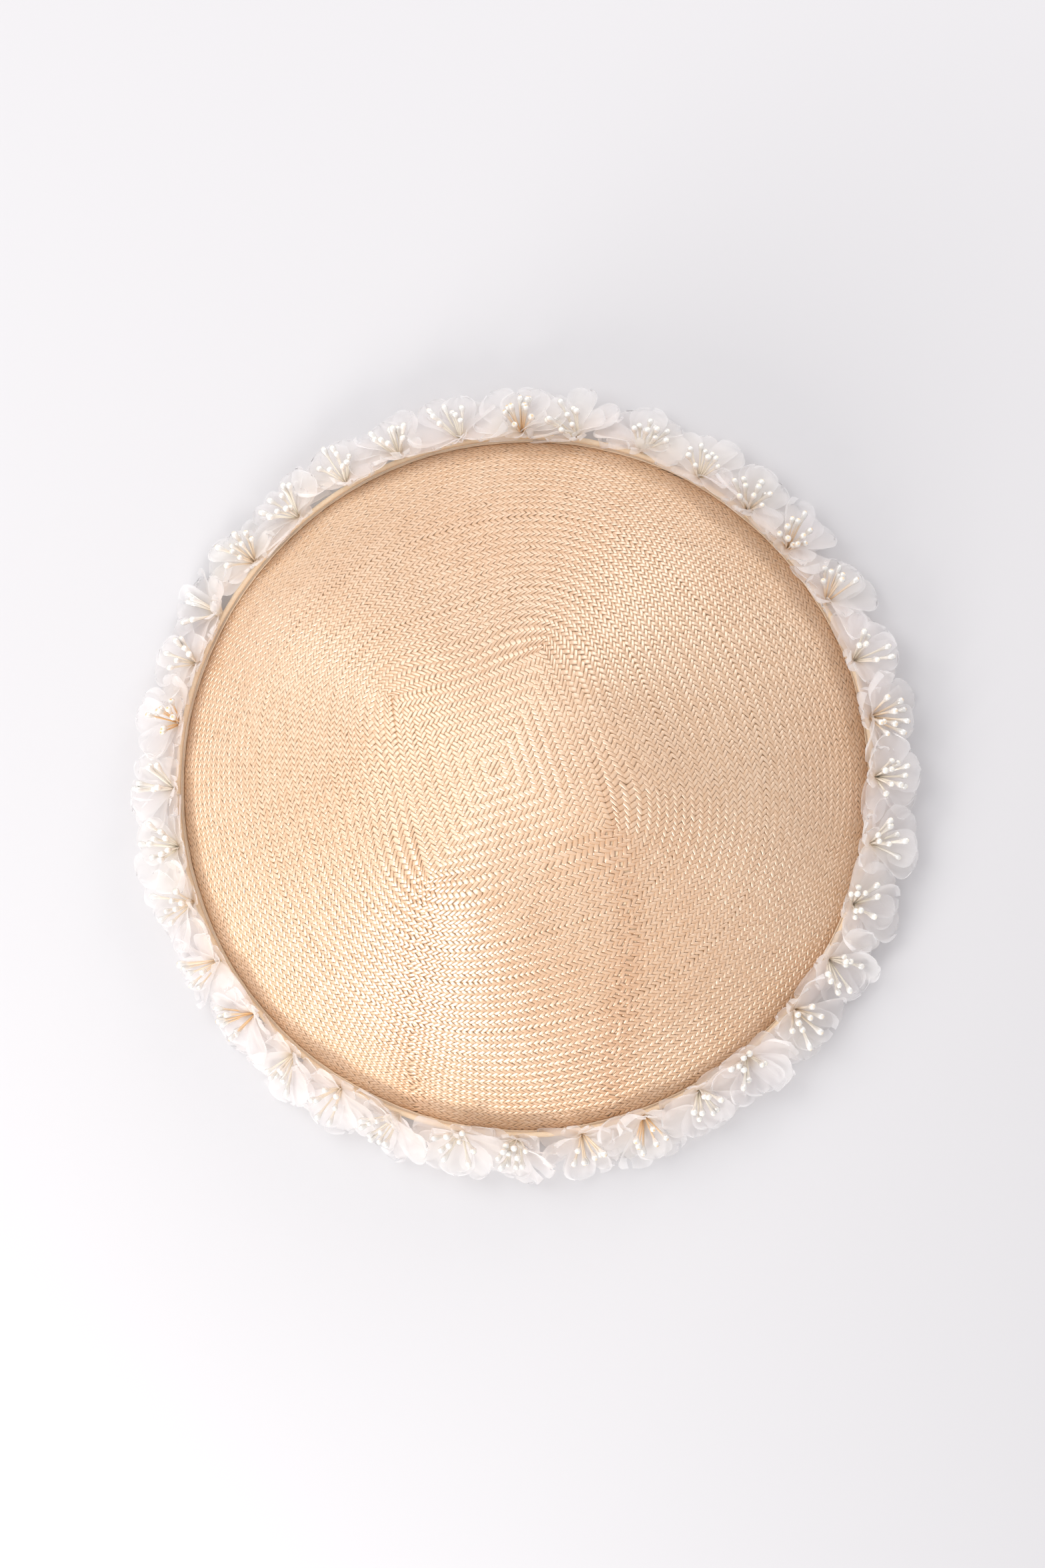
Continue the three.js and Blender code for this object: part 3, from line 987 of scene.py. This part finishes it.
# The petals are cut side by side from one strip of silk
bunches = {}
for number, node in enumerate(blossom_nodes):
    luck = np.random.default_rng(100 + number)
    low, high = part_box(node)
    middle = (low + high) / 2
    azimuth = math.atan2(middle.y, middle.x)
    seat = np.array([stem_ring * math.cos(azimuth), stem_ring * math.sin(azimuth), stem_height])
    axis = np.array(middle) - seat
    axis /= np.linalg.norm(axis)
    tangent = np.array([-math.sin(azimuth), math.cos(azimuth), 0.0])
    # No two blossoms face quite the same way
    axis = axis + luck.normal(0.0, 0.16) * tangent + luck.normal(0.10, 0.12) * np.array([0.0, 0.0, 1.0])
    axis /= np.linalg.norm(axis)
    base = seat + axis * gather_radius + np.array([0.0, 0.0, gather_height])
    right = np.cross(axis, (0.0, 0.0, 1.0))
    right /= np.linalg.norm(right)
    upper = np.cross(right, axis)
    bunches[node] = (base, axis, right, upper)
    vertices, faces, corners, throats, hems = [], [], [], [], []
    for count, (turn, opened, size) in enumerate(petal_places):
        around = math.radians(turn + luck.normal(0.0, 9.0))
        outward = math.cos(around) * right + math.sin(around) * upper
        bend = (luck.uniform(0.4, 0.7), opened + luck.normal(0.0, 0.14), luck.uniform(-0.55, 0.60))
        length = petal_length * size * luck.uniform(0.90, 1.08)
        points, flat, edge = petal(axis, outward, bend, length, luck)
        points = points + base + outward * gather_radius + axis * layer_gap * (count % 3)
        start = len(vertices) * petal_rows * petal_columns
        vertices.append(points.reshape(-1, 3))
        index = np.arange(petal_rows * petal_columns).reshape(petal_rows, petal_columns) + start
        # Each petal has its own place on the strip of silk
        shift = np.array([0.02 * count, 0.0])
        for i in range(petal_rows - 1):
            for j in range(petal_columns - 1):
                cells = ((i, j), (i, j + 1), (i + 1, j + 1), (i + 1, j))
                faces.append(tuple(int(index[cell]) for cell in cells))
                corners += [flat[cell] + shift for cell in cells]
        reached = np.clip(1.0 - flat[..., 1] / tinted_length, 0.0, 1.0).ravel() ** 1.5
        throats.append(reached * luck.uniform(0.1, 0.8))
        hems.append(edge.ravel())
    places = np.concatenate(vertices)
    # The crown's face and the table stop the petals
    reach = np.hypot(places[:, 0], places[:, 1])
    turned = np.arctan2(places[:, 1], places[:, 0])
    lapping = np.maximum(petal_wall - reach, 0.0)
    reach = reach + pressed_back * lapping
    places[:, 0] = reach * np.cos(turned)
    places[:, 1] = reach * np.sin(turned)
    face = on_crown(np.minimum(reach, edge_radius), turned, np.zeros(len(reach)))[:, 2] + crown_gap
    rest = np.where(reach < edge_radius + 0.001, face, table_gap)
    below = rest - places[:, 2]
    pressed = rest + rest_gap - 0.04 * np.minimum(below, 0.008)
    places[:, 2] = np.where(below > 0.0, pressed, places[:, 2])
    name = node.replace("blossom", "petals")
    mesh = bpy.data.meshes.new(name)
    mesh.from_pydata(places.tolist(), [], faces)
    cloth = mesh.uv_layers.new(name="cloth")
    cloth.uv.foreach_set("vector", np.array(corners, np.float32).ravel())
    mark_points(mesh, "throat", np.concatenate(throats))
    mark_points(mesh, "hem", np.concatenate(hems))
    mesh.polygons.foreach_set("use_smooth", np.ones(len(faces), bool))
    piece = bpy.data.objects.new(name, mesh)
    scene.collection.objects.link(piece)
    piece.data.materials.append(white_silk)
    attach(piece, "root")
    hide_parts(node)

# ---------------------------------------------------------------------------------------------------
# Stamens. Stiffened cotton threads, each dipped in a drop of pearl paint that dries to a pear-shaped
# head. A bunch is tied in the middle of each blossom and fans out of it.
thread_radius = 0.00031
head_radius = 0.00134
stamen_sides = 7


def stamen(start, direction, bow, length, drawn, luck):
    """A thread and its head, as rings round a bowed line, closed at both ends."""
    along = np.array([0.0, 0.30, 0.60, 0.74, 0.84, 0.92, 0.975, 1.0])
    round_head = np.array([0.0, 0.0, 0.0, 0.10, 0.66, 1.0, 0.74, 0.0])
    long_head = np.array([0.0, 0.05, 0.26, 0.52, 0.80, 1.0, 0.72, 0.0])
    head = round_head + (long_head - round_head) * drawn
    fat = luck.uniform(0.86, 1.06)
    sizes = thread_radius + (head_radius * fat - thread_radius) * head
    sizes[-1] = head_radius * 0.22
    centres = start + (along * length)[:, None] * direction + (along**2)[:, None] * bow
    ahead = direction + bow / length
    across = np.cross(ahead, (0.3, 0.2, 0.9))
    across /= np.linalg.norm(across)
    other = np.cross(ahead / np.linalg.norm(ahead), across)
    turns = np.arange(stamen_sides) / stamen_sides * 2 * np.pi
    ring = np.cos(turns)[:, None] * across + np.sin(turns)[:, None] * other
    points = centres[:, None, :] + sizes[:, None, None] * ring[None]
    faces = []
    for i in range(len(along) - 1):
        for j in range(stamen_sides):
            k = (j + 1) % stamen_sides
            first, second = i * stamen_sides, (i + 1) * stamen_sides
            faces.append((first + j, first + k, second + k, second + j))
    last = (len(along) - 1) * stamen_sides
    faces.append(tuple(reversed(range(stamen_sides))))
    faces.append(tuple(last + j for j in range(stamen_sides)))
    return points.reshape(-1, 3), faces, np.repeat(head, stamen_sides)


pearl_paint, tree, shader = new_material(
    "pearl_paint",
    Roughness=0.26,
    IOR=1.7,
    Coat_Weight=0.6,
    Coat_Roughness=0.12,
)
dipped = read_mark(tree, "dipped")
lustre = place_mottling(tree, 260.0, 2.0, (0.74, 0.72, 0.69, 1.0), (0.92, 0.90, 0.86, 1.0))
thread = blend_colours(tree, read_mark(tree, "dyed"), (0.90, 0.84, 0.72, 1.0), (0.80, 0.48, 0.20, 1.0))
colour = blend_colours(tree, dipped, thread, lustre.outputs["Colour"])
tree.links.new(colour, shader.inputs["Base Color"])
shine = add_node(tree, "ShaderNodeMapRange", To_Min=0.0, To_Max=0.30)
tree.links.new(dipped, shine.inputs["Value"])
tree.links.new(shine.outputs["Result"], shader.inputs["Metallic"])

for number, node in enumerate(blossom_nodes):
    luck = np.random.default_rng(500 + number)
    base, axis, right, upper = bunches[node]
    vertices, faces, dips, dyes = [], [], [], []
    bunch = int(luck.integers(7, 12))
    drift = luck.normal(0.0, 0.18, 2)
    drawn = luck.uniform(0.0, 1.0)
    dye = luck.random() ** 4
    for count in range(bunch):
        around = count * 2.4 + luck.normal(0.0, 0.3)
        spread = 0.10 + 0.62 * math.sqrt((count + 0.5) / bunch) * luck.uniform(0.7, 1.1)
        direction = axis + spread * (math.cos(around) * right + math.sin(around) * upper)
        direction = direction + drift[0] * right + (drift[1] + 0.05) * upper
        direction /= np.linalg.norm(direction)
        bow = luck.normal(0.0, 0.0008, 3)
        length = luck.uniform(0.0115, 0.0168)
        points, rod, dip = stamen(base + direction * 0.0005, direction, bow, length, drawn, luck)
        points[:, 2] = np.maximum(points[:, 2], table_gap)
        start = sum(len(v) for v in vertices)
        faces += [tuple(c + start for c in face) for face in rod]
        vertices.append(points)
        dips.append(np.clip(dip * 1.6, 0.0, 1.0))
        dyes.append(np.full(len(points), dye) * (1.0 - dips[-1]))
    name = node.replace("blossom", "stamens")
    piece = solid_piece(name, vertices, faces)
    mark_points(piece.data, "dipped", np.concatenate(dips))
    mark_points(piece.data, "dyed", np.concatenate(dyes))
    piece.data.materials.append(pearl_paint)
    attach(piece, "root")
    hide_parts(node)

# ---------------------------------------------------------------------------------------------------
size = {"cad": [list(corner) for corner in cad_box], "visual": [list(corner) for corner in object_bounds()]}
